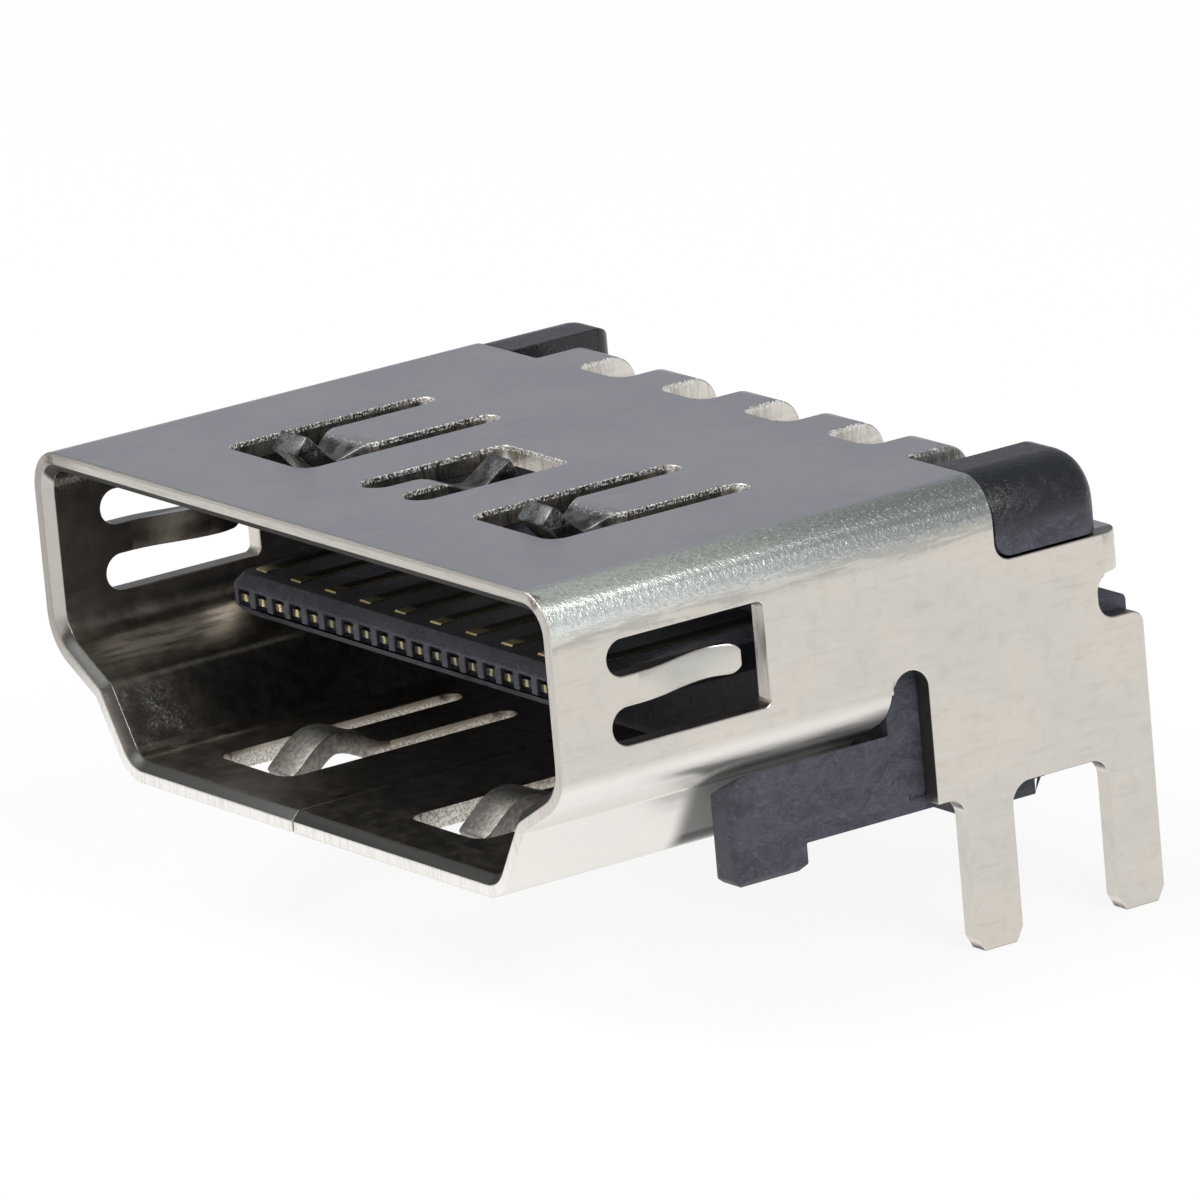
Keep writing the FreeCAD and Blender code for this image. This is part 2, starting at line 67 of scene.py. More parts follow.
class Graph:
    # a node tree, filled through one method
    def __init__(self, tree):
        self.tree = tree
        tree.nodes.clear()

    # any node: its type, its settings, then its sockets by name, or by number as i0, i1 and so on
    def node(self, kind, settings=None, **sockets):
        made = self.tree.nodes.new(kind)
        for name, value in (settings or {}).items():
            setattr(made, name, value)
        for name, value in sockets.items():
            key = int(name[1:]) if name[0] == "i" and name[1:].isdigit() else name.replace("_", " ")
            self.feed(made.inputs[key], value)
        return made

    # one output of a new node, ready for arithmetic
    def out(self, kind, settings=None, output=0, **sockets):
        return Wire(self, self.node(kind, settings, **sockets).outputs[output])

    def feed(self, socket, value):
        if isinstance(value, Wire):
            self.tree.links.new(value.socket, socket)
        elif isinstance(value, bpy.types.NodeSocket):
            self.tree.links.new(value, socket)
        else:
            socket.default_value = value

    def math(self, operation, *values):
        return self.out("ShaderNodeMath", {"operation": operation}, **numbered(values))

    def vector(self, operation, *values):
        output = "Value" if operation in ("DOT_PRODUCT", "DISTANCE") else "Vector"
        return self.out("ShaderNodeVectorMath", {"operation": operation}, output, **numbered(values))

    # colour a where factor is 0, colour b where it is 1
    def mix(self, factor, a, b):
        return self.out("ShaderNodeMix", {"data_type": "RGBA"}, 2, i0=factor, i6=a, i7=b)

    def mixValue(self, factor, a, b):
        return self.out("ShaderNodeMix", {"data_type": "FLOAT"}, 0, i0=factor, i2=a, i3=b)

    # smooth step from 0 at low to 1 at high
    def step(self, value, low, high):
        return self.out("ShaderNodeMapRange", {"interpolation_type": "SMOOTHSTEP"},
                        Value=value, From_Min=low, From_Max=high)

    # 1 between low and high, with soft ends
    def band(self, value, low, high, soft):
        return self.step(value, low - soft, low + soft) * self.step(value, high + soft, high - soft)

    # a cloudy value, stretched along the axes whose share of place is small
    def noise(self, place, scale, detail, roughness, share=None, distortion=0.0):
        if share:
            place = self.vector("MULTIPLY", place, share)
        return self.out("ShaderNodeTexNoise", None, Vector=place, Scale=scale, Detail=detail,
                        Roughness=roughness, Distortion=distortion)

    def bump(self, height, strength, distance):
        return self.out("ShaderNodeBump", None, Height=height, Strength=strength, Distance=distance)


class Wire:
    # an output socket with arithmetic
    def __init__(self, graph, socket):
        self.graph = graph
        self.socket = socket

    def __add__(self, other):
        return self.graph.math("ADD", self, other)

    def __radd__(self, other):
        return self.graph.math("ADD", other, self)

    def __sub__(self, other):
        return self.graph.math("SUBTRACT", self, other)

    def __rsub__(self, other):
        return self.graph.math("SUBTRACT", other, self)

    def __mul__(self, other):
        return self.graph.math("MULTIPLY", self, other)

    def __rmul__(self, other):
        return self.graph.math("MULTIPLY", other, self)

    def __truediv__(self, other):
        return self.graph.math("DIVIDE", self, other)

    def __rtruediv__(self, other):
        return self.graph.math("DIVIDE", other, self)

    def __abs__(self):
        return self.graph.math("ABSOLUTE", self)


def newMaterial(name):
    material = bpy.data.materials.new(name)
    material.use_nodes = True
    return material, Graph(material.node_tree)


def finishMaterial(graph, shader):
    graph.node("ShaderNodeOutputMaterial", None, Surface=shader)


# place on the part in millimetres
def millimetres(graph):
    source = graph.out("ShaderNodeTexCoord", None, "Object")
    return graph.vector("MULTIPLY", source, (1 / mm, 1 / mm, 1 / mm))


# the way the surface faces, seen from the part
def facing(graph):
    return graph.out("ShaderNodeTexCoord", None, "Normal")


def parts(graph, vector):
    split = graph.node("ShaderNodeSeparateXYZ", None, Vector=vector)
    return [Wire(graph, output) for output in split.outputs]


# product of masks: the name of one that is there already, (value, at 0, at 1) or (value, low, high, soft)
def masked(g, at, terms):
    masks = []
    for term in terms:
        if isinstance(term, str):
            masks.append(at[term])
        else:
            name, *span = term
            masks.append(g.step(at[name], *span) if len(span) == 2 else g.band(at[name], *span))
    return math.prod(masks[1:], start=masks[0])


# layers of colour over a base, each as its colour, its share and the terms of its mask
def layered(g, at, base, layers, colors):
    for name, share, *terms in layers:
        where = masked(g, at, terms)
        base = g.mix(where if share == 1 else share * where, base, colors[name])
    return base


# plated sheet metal

sheetColors = {
    "side": (0.700, 0.650, 0.580, 1),
    "sideCool": (0.655, 0.628, 0.585, 1),
    # the top's tones are painted shade and cool reflection on faces turned up
    "top": (0.590, 0.563, 0.590, 1),
    "topCool": (0.545, 0.535, 0.568, 1),
    # painted highlight along the bend, strong at the front and shaded toward the rear
    "bendFront": (0.95, 0.98, 0.93, 1),
    "bendRear": (0.42, 0.44, 0.43, 1),
    "bendDark": (0.20, 0.21, 0.19, 1),
    # lit tone of the front rim, painted light on its right part over its painted-shade base
    "rim": (0.66, 0.63, 0.58, 1),
    "rimShade": (0.42, 0.39, 0.36, 1),
    "edge": (0.74, 0.70, 0.64, 1),
    # pale tone painted as floor light on faces turned down and on the rim's lower part
    "edgeLow": (0.96, 0.93, 0.89, 1),
    "edgeMiddle": (0.36, 0.33, 0.29, 1),
    # dark tears, streaks and lines of the sheet, and painted shade on ledges, in the relief notch and along
    # the rim's top brink
    "edgeShade": (0.13, 0.12, 0.10, 1),
    # pale streaks of the brushed sheet, and painted glints and highlights
    "glint": (0.92, 0.92, 0.90, 1),
    # dark tones of the springs, painted as shade on the top's springs and tongues
    "spring": (0.19, 0.19, 0.19, 1),
    "springShade": (0.06, 0.06, 0.06, 1),
    # painted shade and cool reflection of the side tongues
    "sideTongue": (0.50, 0.53, 0.50, 1),
    # darker tone of the mouth's inside, painted shade
    "inside": (0.400, 0.360, 0.315, 1),
    "insideShade": (0.240, 0.210, 0.175, 1),
    "brushed": (0.95, 0.88, 0.76, 1),
    "silver": (0.80, 0.84, 0.85, 1),
    "crease": (0.12, 0.10, 0.08, 1),
    # dark tone painted as shade on the lead-in and above the rails
    "lead": (0.075, 0.076, 0.072, 1),
    "leadLight": (0.56, 0.53, 0.49, 1),
}

# what the press and the plating bath leave: scale, detail, roughness and share of each axis
sheetNoises = {
    "grain": (13.0, 2.0, 0.62),
    "fine": (26.0, 2.0, 0.6),
    "rolled": (9.0, 3.0, 0.6, (1.0, 0.12, 1.0)),
    "cloud": (0.5, 3.0, 0.55),
    "blotch": (3.4, 3.0, 0.6),
    "shear": (8.0, 3.0, 0.65, (1.0, 1.0, 0.18)),
    "rimUp": (22.0, 2.0, 0.6, (1.0, 1.0, 0.07)),
    "rimAcross": (22.0, 2.0, 0.6, (0.07, 1.0, 1.0)),
}

# where the surface lies on the folded shell: places in millimetres, and shares of the surface's direction
sheetPlaces = {
    # inside of the mouth, and the lead-in along its brink
    "looksIn": [("inward", 0.22, 0.45)],
    "inside": ["looksIn", ("side", 7.05, 6.97), ("z", 5.05, 4.97), ("z", 0.31, 0.40), ("y", 8.4, 8.2)],
    "lead": [("steepY", 0.25, 0.45), ("steepY", 0.95, 0.88), ("y", 0.19, 0.15)],
    # lead-in faces turned up or down get painted shade, those turned sideways painted light
    "leadDark": ["lead", "looksIn", ("steepZ", 0.25, 0.45)],
    "leadBright": ["lead", "looksIn", ("steepZ", 0.40, 0.20)],
    # the long bends beside the top, with a ragged border
    "bend": [("side", 6.60, 6.94), ("ragged", 4.50, 4.86), ("steepY", 0.5, 0.2)],
    "bendLow": [("ragged", 4.46, 4.72, 0.10), ("side", 6.9, 7.1), ("steepY", 0.5, 0.2)],
    "front": [("y", 8.5, 0.2)],
    # cut faces: front rim, windows and slots of the top, side plates and legs, floor windows
    "rim": [("ny", -0.80, -0.95), ("y", 0.10, 0.04)],
    "flankRim": [("z", 5.02, 4.92)],
    "topBrink": [("y", 0.04, 0.02), ("z", 5.265, 5.285)],
    "upright": [("steepZ", 0.75, 0.35)],
    "inTop": [("z", 4.96, 5.01), ("side", 6.62, 6.58)],
    "topCut": ["upright", "inTop", ("y", 0.10, 0.20)],
    "topCutRear": ["topCut", ("steepY", 0.45, 0.75)],
    "slotCut": ["topCut", ("y", 8.2, 8.5)],
    "brink": ["inTop", ("z", 5.255, 5.270), ("nz", 0.96, 0.90), ("y", 0.3, 0.5), ("fine", 0.46, 0.60)],
    "sideCut": [("side", 6.98, 7.02), ("steepX", 0.75, 0.35), ("z", 4.62, 4.52), ("y", 0.10, 0.20)],
    "ledge": ["sideCut", ("nz", 0.35, 0.70)],
    "relief": ["sideCut", ("y", 6.1, 7.1, 0.05), ("z", 0.30, 0.60)],
    "floorCut": ["upright", ("z", 0.02, 0.50, 0.02), ("side", 5.1, 4.9), ("y", 0.3, 0.5)],
    # springs of the top and the floor, and the tongues of the top and the sides
    "aloft": [("z", 4.2, 4.4)],
    "topSpring": ["aloft", ("side", 2.85, 4.09, 0.05), ("y", 2.25, 3.55, 0.12)],
    "tongue": ["aloft", ("side", 0.40, 0.34), ("y", 3.05, 4.50, 0.12)],
    "floorSpring": [("fromSpring", 0.60, 0.52), ("y", 1.15, 3.10, 0.15), ("z", 1.4, 1.2), ("z", 0.05, 0.10)],
    "sideTongue": [("z", 3.42, 3.76, 0.12), ("y", 2.0, 3.3, 0.4), ("side", 6.4, 6.6)],
    # light, shade and marks
    "up": [("nz", 0.55, 0.80)],
    "down": [("nz", -0.20, -0.50)],
    "low": [("z", 2.6, 0.2)],
    "right": [("x", -6.6, -5.6)],
    "railShade": [("nz", -0.35, -0.60), ("y", 3.0, 3.4), ("side", 5.1, 5.5), ("z", 1.95, 1.50)],
    "patch": [("z", 1.78, 2.02, 0.13), ("y", 0.5, 3.0, 0.5)],
    "silver": [("z", 0.55, 1.45, 0.25), ("y", 0.2, 1.3, 0.4)],
    "sparkle": [("fine", 0.58, 0.68)],
}

# layers of each finish, from the first to the last
sheetLayers = {
    "sides": [  # warm and brushed, with painted floor light on faces turned down, painted shade on the side tongues and painted shade above the rails
        ("sideCool", 0.75, ("cloud", 0.36, 0.66)),
        ("glint", 0.13, ("rolled", 0.50, 0.72)),
        ("edgeShade", 0.10, ("rolled", 0.48, 0.30)),
        ("edgeMiddle", 0.10, ("blotch", 0.52, 0.66)),
        # painted floor light on faces turned down
        ("edgeLow", 0.8, "down"),
        # painted shade and cool reflection on the side tongues
        ("sideTongue", 0.7, "sideTongue"),
        # painted shade above the rails
        ("lead", 0.95, "railShade"),
    ],
    "cover": [  # the top, painted darker and cooler than the sides as shade and reflection, and clouded
        ("topCool", 1, ("cloud", 0.36, 0.66)),
        ("edgeShade", 0.07, ("blotch", 0.55, 0.75)),
        ("glint", 0.06, ("rolled", 0.5, 0.7)),
    ],
    "bend": [  # grain opened up where the sheet was bent, over a painted highlight that grows toward the front, with painted glints
        ("bendFront", 1, "front"),
        ("bendDark", 0.30, ("grain", 0.42, 0.62)),
        # painted glints in the bend's grain
        ("glint", 0.50, "sparkle"),
    ],
    "torn": [  # sheared edge with dark tears
        ("edgeShade", 1, ("shear", 0.46, 0.70)),
        ("edge", 0.8, ("shear", 0.38, 0.26)),
    ],
    "tornLight": [("edgeMiddle", 0.45, ("shear", 0.46, 0.70))],
    "speckled": [("edgeMiddle", 1, ("fine", 0.40, 0.62))],
    "brim": [  # the front rim, painted lighter to the right and below as light falling on it
        # painted light on the rim's right part
        ("rim", 0.75, "right"),
        # painted floor light on the rim's lower part
        ("edgeLow", 1, "low"),
        ("edgeShade", 0.16, ("lines", 0.46, 0.66)),
    ],
    "inner": [  # inside of the mouth, painted darker as shade, with a brushed patch and bright scuffs
        ("insideShade", 0.6, ("blotch", 0.62, 0.42)),
        ("brushed", 1, "patch", ("rolled", 0.34, 0.60)),
        ("silver", 1, "scuff"),
    ],
    # the top springs and tongues painted dark as shade, blotched
    "springFace": [("spring", 1, ("blotch", 0.40, 0.62))],
    "floorFace": [("spring", 1, ("grain", 0.3, 0.7))],
    "whole": [
        # painted shade and cool reflection on faces turned up
        ("cover", 1, "up"),
        ("bend", 1, "bend"),
        # painted shade with brushed streaks along the bend's lower border
        ("bendDark", 0.40, "bendLow", ("rolled", 0.36, 0.60)),
        ("torn", 1, "topCut"),
        ("tornLight", 1, "rearCut"),
        # painted highlight along the rounded brinks of the top's windows
        ("glint", 1, "brink"),
        ("edge", 0.55, "sideCut", ("blotch", 0.40, 0.60)),
        # painted shade on the side windows' upward ledges and in the relief notch
        ("edgeShade", 0.80, "ledge"),
        ("edgeShade", 0.85, "relief"),
        ("speckled", 1, "floorCut"),
        ("brim", 1, "rim"),
        # painted shade line along the rim's top brink
        ("edgeShade", 0.3, "topBrink"),
        ("inner", 1, "inside"),
        # painted shade on the lead-in's faces turned up or down, painted light on its faces turned sideways
        ("lead", 1, "leadDark"),
        ("leadLight", 1, "leadBright"),
        ("springFace", 1, "spring"),
        ("floorFace", 1, "floorSpring"),
        # dark patches at the two upper corners of the rim
        ("crease", 0.85, "spot", ("grain", 0.30, 0.55)),
    ],
}

# colour that each finish starts from
sheetBases = {
    "sides": "side", "cover": "top", "bend": "bendRear", "torn": "edgeMiddle", "tornLight": "edge",
    "speckled": "edge", "brim": "rimShade", "inner": "inside", "springFace": "springShade",
    "floorFace": "edgeMiddle", "whole": "sides",
}

sheetLook = {
    "halfWidth": 7.0,
    "middleHeight": 2.72,
    "halfHeight": 2.28,
    "raggedness": 0.22,
    "seam": -0.53,
    "floorSpringAt": 2.74,
    "spots": ((-6.80, 0.0, 5.17), (6.97, 0.0, 5.22)),
    "spotSpan": (0.20, 0.05),
    "scuffShare": 0.45,
    "bumpStrength": 0.32,
    "bumpDistance": 0.000012,
}


# every value that the sheet's masks are made of, and the masks themselves
def sheetValues(g):
    look = sheetLook
    place = millimetres(g)
    at = {name: g.noise(place, *settings) for name, settings in sheetNoises.items()}
    at.update(zip(("x", "y", "z"), parts(g, place)))
    at.update(zip(("nx", "ny", "nz"), parts(g, facing(g))))
    at["side"] = abs(at["x"])
    at["steepX"], at["steepY"], at["steepZ"] = abs(at["nx"]), abs(at["ny"]), abs(at["nz"])
    outward = at["nx"] * at["x"] / look["halfWidth"]
    upward = at["nz"] * (at["z"] - look["middleHeight"]) / look["halfHeight"]
    at["inward"] = 0 - outward - upward
    at["ragged"] = at["z"] + look["raggedness"] * (at["grain"] - 0.5)
    at["fromSpring"] = abs(abs(at["x"] - look["seam"]) - look["floorSpringAt"])
    for name, terms in sheetPlaces.items():
        at[name] = masked(g, at, terms)
    at["spring"] = g.math("MAXIMUM", at["topSpring"], at["tongue"])
    at["rearCut"] = g.math("MAXIMUM", at["topCutRear"], at["slotCut"])
    at["lines"] = g.mixValue(at["flankRim"], at["rimAcross"], at["rimUp"])
    near = [g.step(g.vector("DISTANCE", place, spot), *look["spotSpan"]) for spot in look["spots"]]
    at["spot"] = g.math("MAXIMUM", *near)
    scuffTerms = ["silver", ("blotch", 0.34, 0.66), ("fine", 0.46, 0.66), "inside"]
    at["scuff"] = look["scuffShare"] * masked(g, at, scuffTerms)
    return at


def makeSheetMetal():
    look = sheetLook
    material, g = newMaterial("platedSheet")
    at = sheetValues(g)
    colors = dict(sheetColors)
    finishes = {}
    for name, layers in sheetLayers.items():
        base = sheetBases[name]
        finishes[name] = layered(g, at, finishes.get(base, colors.get(base)), layers, {**colors, **finishes})

    rough = 0.29 + 0.10 * g.step(at["rolled"], 0.3, 0.7) + 0.05 * g.step(at["cloud"], 0.4, 0.7)
    rough = g.mixValue(at["bend"], rough, 0.30 + 0.16 * at["grain"])
    rough = g.mixValue(at["inside"], rough, 0.24 + 0.12 * at["blotch"])
    rough = g.mixValue(g.math("MAXIMUM", at["floorSpring"], at["leadDark"]), rough, 0.48)
    rough = g.mixValue(at["railShade"], rough, 0.60)
    height = 0.45 * at["fine"] + 0.55 * at["rolled"] + 3.4 * at["bend"] * at["grain"]
    height = height + 2.2 * (at["topCut"] + at["sideCut"]) * at["shear"] + 2.6 * at["rim"] * at["lines"]
    normal = g.bump(height, look["bumpStrength"], look["bumpDistance"])

    # crumbled plating and scuffs scatter the light instead of mirroring it, and so do the painted glints of
    # the bend, the painted highlight along the brinks and the painted shade above the rails
    loose = g.math("MAXIMUM", 0.35 * at["bend"] * at["sparkle"], 0.8 * at["scuff"])
    loose = g.math("MAXIMUM", g.math("MAXIMUM", 0.65 * at["brink"], loose), 0.9 * at["railShade"])
    shader = g.node("ShaderNodeBsdfPrincipled", None, Base_Color=finishes["whole"], Roughness=rough,
                    Metallic=1.0 - loose, Normal=normal)
    finishMaterial(g, shader.outputs[0])
    return material


# moulded plastic, filled with short fibres

plasticLook = {
    "dark": (0.026, 0.027, 0.038, 1),
    "light": (0.072, 0.074, 0.100, 1),
    "fibre": (0.120, 0.122, 0.150, 1),
    # painted shade on the ears' upper part and on the blade's top
    "smooth": (0.006, 0.008, 0.010, 1),
    "warp": (1.6, 3.0),  # scale and detail of the noise that bends the flow
    "flow": (2.3, 4.0, 0.66, (1.0, 0.6, 1.3), 0.5),
    "fibreNoise": (15.0, 3.0, 0.65, (1.0, 0.45, 1.4)),
    "pit": (30.0, 2.0, 0.6),
    "ear": [("y", 8.4, 8.45), ("z", 4.28, 4.62)],
    "bladeTop": [("y", 6.3, 6.0), ("nz", 0.75, 0.95)],
    "bumpStrength": 0.65,
    "bumpDistance": 0.00003,
}


def makePlastic():
    look = plasticLook
    material, g = newMaterial("darkPlastic")
    place = millimetres(g)
    at = dict(zip("xyz", parts(g, place)))
    at["nz"] = parts(g, facing(g))[2]
    scale, detail = look["warp"]
    bent = g.out("ShaderNodeTexNoise", None, "Color", Vector=place, Scale=scale, Detail=detail)
    bentPlace = g.vector("ADD", place, bent)
    flow = g.noise(bentPlace, *look["flow"])
    fibre = g.noise(bentPlace, *look["fibreNoise"])
    pit = g.noise(place, *look["pit"])
    ear = masked(g, at, look["ear"])
    bladeTop = masked(g, at, look["bladeTop"])
    shade = 0.55 * g.step(flow, 0.38, 0.62) + 0.45 * g.step(fibre, 0.38, 0.66)
    color = g.mix(shade, look["dark"], look["light"])
    color = g.mix(0.40 * g.step(fibre, 0.58, 0.74), color, look["fibre"])
    # painted shade on the upper part of the ears and on the blade's top inside the mouth
    color = g.mix(g.math("MAXIMUM", 0.90 * ear, 0.65 * bladeTop), color, look["smooth"])
    rough = 0.46 + 0.18 * g.step(flow, 0.3, 0.7) - 0.10 * g.step(fibre, 0.58, 0.72)
    rough = g.mixValue(ear, rough, 0.20 + 0.10 * flow)
    normal = g.bump(0.8 * fibre + 0.7 * flow + 0.35 * pit, look["bumpStrength"], look["bumpDistance"])
    shader = g.node("ShaderNodeBsdfPrincipled", None, Base_Color=color, Roughness=rough, Normal=normal)
    finishMaterial(g, shader.outputs[0])
    return material


# gold plating of the contacts

goldLook = {
    "bright": (0.72, 0.62, 0.36, 1),
    "dull": (0.44, 0.38, 0.22, 1),
    # mid gold painted as a highlight line along the flats and as shade over the tips
    "worn": (0.16, 0.14, 0.08, 1),
    "shade": (0.022, 0.020, 0.017, 1),
    # painted shade around each tip's highlight dot
    "flux": (0.020, 0.019, 0.016, 1),
    "pitch": 0.5,
    "flat": [("y", 9.0, 8.8), ("y", 2.42, 2.72), ("steepZ", 0.6, 0.8)],
    "lightEdge": [("besides", 0.105, 0.135, 0.006)],
    "tip": [("y", 2.20, 2.14)],
    "aroundDot": [("offMiddle", 0.020, 0.048)],
    "cloud": (3.0, 3.0, 0.6),
    "crumb": (13.0, 2.0, 0.6),
    "scratch": (40.0, 2.0, 0.6, (1.0, 0.08, 1.0)),
    "bumpStrength": 0.25,
    "bumpDistance": 0.000006,
}

# the long flats lie in the dark of the mouth and are painted as shade, with a painted highlight line along
# one edge; each front tip is painted shaded around a bright painted highlight dot in its middle
goldLayers = [
    ("dull", 1, ("cloud", 0.35, 0.7)),
    ("shade", 1, "flat"),
    ("worn", 0.8, "flat", "lightEdge"),
    ("worn", 0.55, "tip"),
    ("flux", 0.97, "tip", "aroundDot"),
]


def makeGold():
    look = goldLook
    material, g = newMaterial("goldContact")
    place = millimetres(g)
    at = dict(zip("xyz", parts(g, place)))
    at["steepZ"] = abs(parts(g, facing(g))[2])
    for name in ("cloud", "crumb", "scratch"):
        at[name] = g.noise(place, *look[name])
    at["besides"] = at["x"] - g.math("FLOOR", at["x"]) - 0.5
    fromContact = g.math("PINGPONG", at["x"] / look["pitch"], 0.5)
    at["offMiddle"] = 0.5 * fromContact + 0.10 * (at["crumb"] - 0.5)
    for name in ("flat", "lightEdge", "tip", "aroundDot"):
        at[name] = masked(g, at, look[name])
    color = layered(g, at, look["bright"], goldLayers, look)
    rough = g.mixValue(at["flat"], 0.20 + 0.16 * g.step(at["cloud"], 0.3, 0.7), 0.50)
    normal = g.bump(at["scratch"] * (1.0 - at["flat"]), look["bumpStrength"], look["bumpDistance"])
    shader = g.node("ShaderNodeBsdfPrincipled", None, Base_Color=color, Roughness=rough, Metallic=1.0,
                    Normal=normal)
    finishMaterial(g, shader.outputs[0])
    return material


materials = {
    "shell": makeSheetMetal(),
    "housing": makePlastic(),
    "contact": makeGold(),
}
materials["tail_spacer"] = materials["housing"]
print("materials made")


# pieces

skinLook = {
    "shellRounding": 0.024,
    "housingRounding": 0.018,
    "sharpFrom": math.radians(40),
    "segments": 2,
    "weld": 2e-7,
    "deepest": 0.55,  # farther off the surface than this share of the rounding, a vertex goes back to it
    "farthest": 2.2,  # and farther from every sharp edge than this share, it goes to the nearest one
    "largeShare": 90,
    "flatFrom": 0.99999,
    "flatTilt": math.cos(math.radians(5)),
}


def pointTree(spots):
    tree = KDTree(len(spots))
    for number, spot in enumerate(spots):
        tree.insert(spot, number)
    tree.balance()
    return tree


# points along edges, no farther apart than step
def edgePoints(edges, step):
    spots = []
    for edge in edges:
        a, b = edge.verts[0].co, edge.verts[1].co
        count = max(1, math.ceil((b - a).length / step))
        spots += [a.lerp(b, number / count) for number in range(count + 1)]
    return spots


# flat faces shaded quite flat, and the rest by the weighted normals of their largest neighbours
def evenNormals(piece, surface):
    mesh = piece.data
    weighted = piece.modifiers.new("evenNormals", "WEIGHTED_NORMAL")
    weighted.keep_sharp = False
    weighted.weight = skinLook["largeShare"]
    result = piece.evaluated_get(bpy.context.evaluated_depsgraph_get()).to_mesh()
    normals = [corner.vector.copy() for corner in result.corner_normals]
    piece.modifiers.remove(weighted)
    for face in mesh.polygons:
        normal = surface.find_nearest(face.center)[1]
        straight = max(abs(share) for share in normal) > skinLook["flatFrom"]
        if straight and face.normal.dot(normal) > skinLook["flatTilt"]:
            for corner in face.loop_indices:
                normals[corner] = normal
    mesh.normals_split_custom_set(normals)


# rounds the sharp edges of a solid's mesh and leaves nothing off its surface or out of its box
def roundEdges(work, surface, rounding):
    look = skinLook
    sharp = [edge for edge in work.edges if edge.calc_face_angle(0) > look["sharpFrom"]]
    brinks = pointTree(edgePoints(sharp, rounding / 2))
    corners = pointTree([vert.co for vert in work.verts])
    box = [[pick(vert.co[axis] for vert in work.verts) for axis in range(3)] for pick in (min, max)]
    bmesh.ops.bevel(work, geom=sharp, offset=rounding, offset_type="OFFSET", segments=look["segments"],
                    profile=0.5, affect="EDGES", clamp_overlap=False, miter_outer="ARC")
    for vert in work.verts:
        spot, normal, number, gap = surface.find_nearest(vert.co)
        if gap > look["deepest"] * rounding:
            vert.co = spot
        if corners.find(vert.co)[2] > look["weld"]:
            spot, number, gap = brinks.find(vert.co)
            if gap > look["farthest"] * rounding:
                vert.co = spot
        vert.co = [min(max(value, low), high) for value, low, high in zip(vert.co, *box)]


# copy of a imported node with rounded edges
def softened(nodeName, pieceName, rounding, material):
    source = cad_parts[nodeName]
    mesh = source.data.copy()
    mesh.name = pieceName
    work = bmesh.new()
    work.from_mesh(mesh)
    bmesh.ops.remove_doubles(work, verts=work.verts, dist=skinLook["weld"])
    surface = BVHTree.FromBMesh(work)
    roundEdges(work, surface, rounding)
    bmesh.ops.remove_doubles(work, verts=work.verts, dist=skinLook["weld"])
    work.to_mesh(mesh)
    work.free()
    piece = bpy.data.objects.new(pieceName, mesh)
    scene.collection.objects.link(piece)
    piece.matrix_world = source.matrix_world.copy()
    dress(mesh, material)
    for face in mesh.polygons:
        face.use_smooth = True
    evenNormals(piece, surface)
    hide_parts(nodeName)
    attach(piece, "root")
    return piece


def dress(mesh, material):
    mesh.materials.clear()
    mesh.materials.append(material)
    for face in mesh.polygons:
        face.material_index = 0


shell = softened("shell", "shellSkin", skinLook["shellRounding"] * mm, materials["shell"])
housing = softened("housing", "housingSkin", skinLook["housingRounding"] * mm, materials["housing"])
for name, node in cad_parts.items():
    if name.startswith("contact"):
        dress(node.data, materials["contact"])
    elif name == "tail_spacer":
        dress(node.data, materials["tail_spacer"])
print("pieces dressed")


# floor, light and camera

floorLook = {
    "half": 3.0,
    "drop": 0.02,
    "color": (0.90, 0.90, 0.90, 1),
    "glow": (1, 1, 1, 1),
    "glowShare": 0.90,
}


# pale floor that takes shadows, and is white for the camera, in reflections and through glass
def makeFloor():
    look = floorLook
    half = look["half"]
    z = cadBox[0][2] - look["drop"] * mm
    corners = [(-half, -half, z), (half, -half, z), (half, half, z), (-half, half, z)]
    mesh = bpy.data.meshes.new("floor")
    mesh.from_pydata(corners, [], [(0, 1, 2, 3)])
    floor = bpy.data.objects.new("floor", mesh)
    scene.collection.objects.link(floor)
    material, g = newMaterial("floorWhite")
    path = g.node("ShaderNodeLightPath")
    rays = [Wire(g, path.outputs["Is %s Ray" % kind]) for kind in ("Camera", "Glossy", "Transmission")]
    seen = g.math("MAXIMUM", g.math("MAXIMUM", rays[0], rays[1]), rays[2])
    matte = g.node("ShaderNodeBsdfDiffuse", None, Color=look["color"])
    glow = g.node("ShaderNodeEmission", None, Color=look["glow"], Strength=1.0)
    blend = g.node("ShaderNodeMixShader", None, i0=seen * look["glowShare"], i1=matte.outputs[0],
                   i2=glow.outputs[0])
    finishMaterial(g, blend.outputs[0])
    mesh.materials.append(material)


worldLook = {
    "horizon": (0.40, 0.415, 0.455, 1),
    "overhead": (0.30, 0.315, 0.30, 1),
    "front": (0.42, 0.41, 0.40, 1),
    "overheadSpan": (0.3, 0.75),
    "frontSpan": (0.1, 0.7),
    "strength": 1.0,
}


def makeWorld():
    look = worldLook
    world = bpy.data.worlds.new("studio")
    scene.world = world
    world.use_nodes = True
    g = Graph(world.node_tree)
    toward = g.out("ShaderNodeTexCoord", None, "Generated")
    height = g.vector("DOT_PRODUCT", toward, (0.0, 0.0, 1.0))
    ahead = g.vector("DOT_PRODUCT", toward, (0.0, -1.0, 0.0))
    color = g.mix(g.step(height, *look["overheadSpan"]), look["horizon"], look["overhead"])
    color = g.mix(g.step(ahead, *look["frontSpan"]), color, look["front"])
    back = g.node("ShaderNodeBackground", None, Color=color, Strength=look["strength"])
    g.node("ShaderNodeOutputWorld", None, Surface=back.outputs[0])


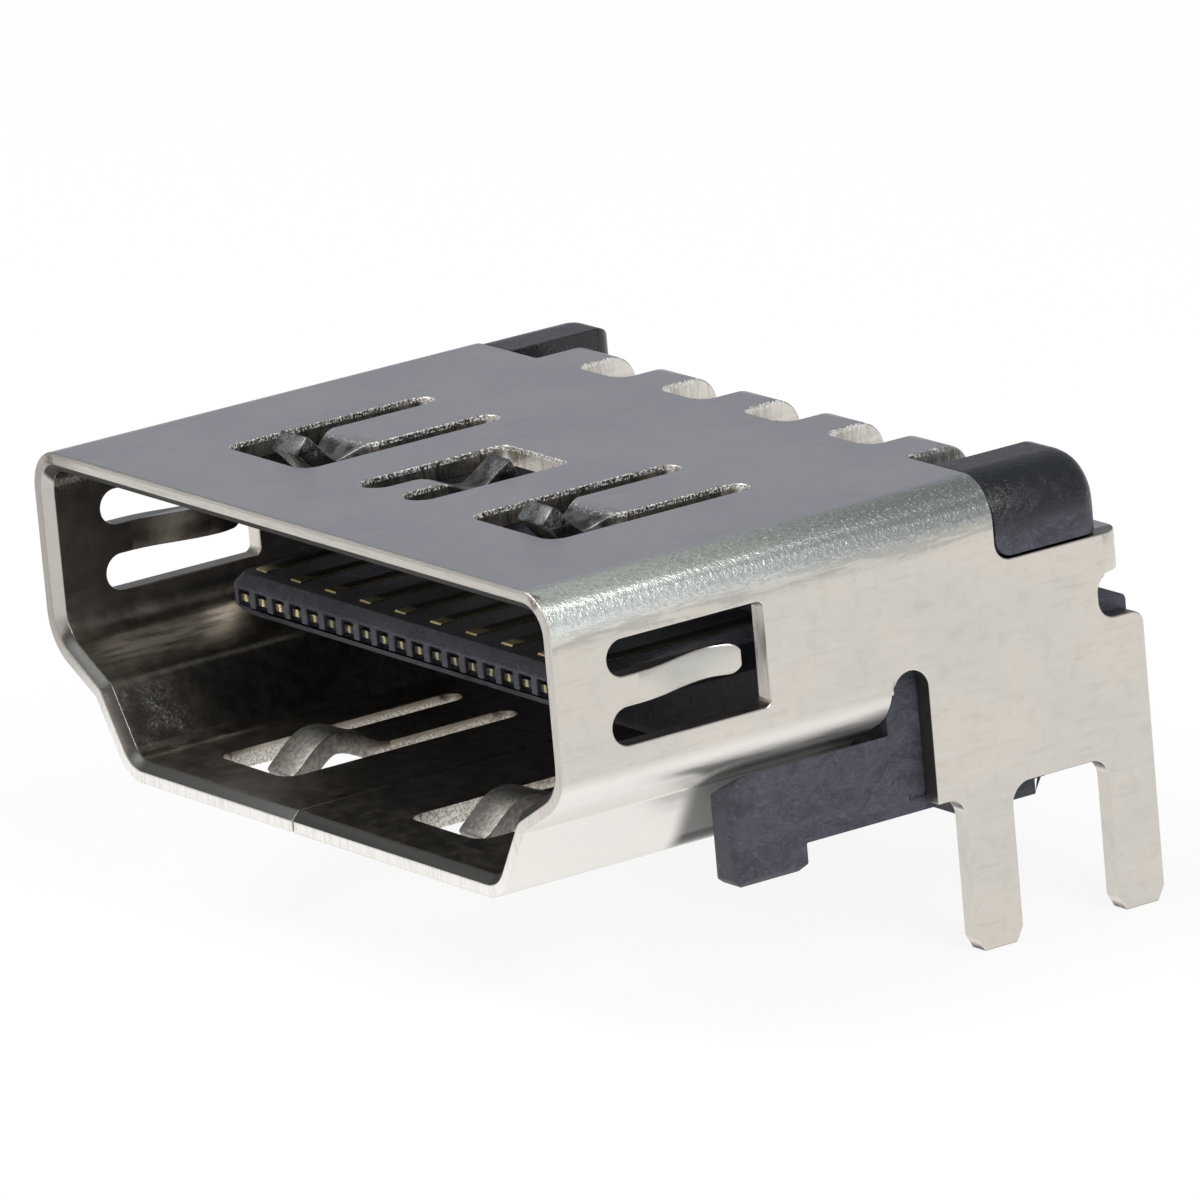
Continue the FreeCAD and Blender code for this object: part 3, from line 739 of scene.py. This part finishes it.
lamps = {
    "key": {"at": (-0.10, -0.26, 0.38), "size": 0.26, "power": 1.5},
    "side": {"at": (0.36, -0.02, 0.30), "size": 0.22, "power": 1.0},
}
lampTarget = (0, 0.005, 0.002)


def makeLamps():
    for name, lamp in lamps.items():
        light = bpy.data.lights.new(name, "AREA")
        light.shape = "DISK"
        light.size = lamp["size"]
        light.energy = lamp["power"]
        holder = bpy.data.objects.new(name, light)
        scene.collection.objects.link(holder)
        holder.location = lamp["at"]
        toward = Vector(lampTarget) - holder.location
        holder.rotation_euler = toward.to_track_quat("-Z", "Y").to_euler()


# the photograph's view: angles in degrees, and the part's place seen from the eye in millimetres
view = {
    "heading": 56.36,
    "tilt": 15.17,
    "roll": -5.17,
    "focalPixels": 12987.0,
    "imageWidth": 1200.0,
    "offset": (-4.59, 3.45, 205.3),
    "mouthFloor": 0.45,
    "sensor": 36.0,
    "clip": (0.01, 50.0),
}


def makeCamera():
    heading, tilt, roll = [math.radians(view[name]) for name in ("heading", "tilt", "roll")]
    right = Vector((math.cos(heading), math.sin(heading), 0))
    ahead = Vector((-math.sin(heading), math.cos(heading), 0))
    forward = ahead * math.cos(tilt) - Vector((0, 0, math.sin(tilt)))
    down = forward.cross(right)
    rolledRight = right * math.cos(roll) - down * math.sin(roll)
    rolledDown = right * math.sin(roll) + down * math.cos(roll)
    turn = Matrix((rolledRight, rolledDown, forward))
    eye = -(turn.transposed() @ Vector(view["offset"]))
    eye.z += view["mouthFloor"]
    camera = bpy.data.cameras.new("camera")
    camera.sensor_width = view["sensor"]
    camera.sensor_fit = "HORIZONTAL"
    camera.lens = view["sensor"] * view["focalPixels"] / view["imageWidth"]
    camera.clip_start, camera.clip_end = view["clip"]
    holder = bpy.data.objects.new("camera", camera)
    scene.collection.objects.link(holder)
    axes = Matrix((rolledRight, -rolledDown, -forward)).transposed().to_4x4()
    holder.matrix_world = Matrix.Translation(eye * mm) @ axes
    scene.camera = holder


makeFloor()
makeWorld()
makeLamps()
makeCamera()
print("studio ready")
